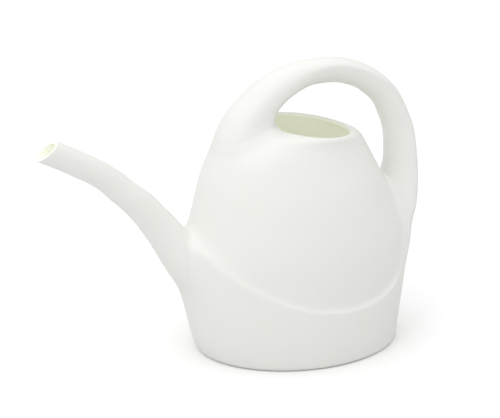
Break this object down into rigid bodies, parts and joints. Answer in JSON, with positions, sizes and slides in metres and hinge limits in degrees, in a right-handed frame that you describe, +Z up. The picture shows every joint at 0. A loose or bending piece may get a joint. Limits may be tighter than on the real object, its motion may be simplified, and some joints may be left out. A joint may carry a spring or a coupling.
{
  "type": "watering can",
  "caption": "Egg-shaped plastic watering can with a swept lower band, an open mouth, a goose-neck spout and a hollow loop handle.",
  "frame": {"origin": "centre of the flat foot, on the surface the can stands on", "axes": "+Z up, spout towards -X, handle towards +X, symmetric about the XZ plane"},
  "size_m": [0.3057, 0.142, 0.2265],
  "materials": {
    "white_plastic": "satin, slightly translucent, fine moulded grain"
  },
  "bodies": {
    "root": {"lower_shell": "white_plastic", "foot_plate": "white_plastic", "dome_shell": "white_plastic", "spout": "white_plastic", "handle_outer_shell": "white_plastic", "handle_inner_shell": "white_plastic"}
  },
  "joints": []
}
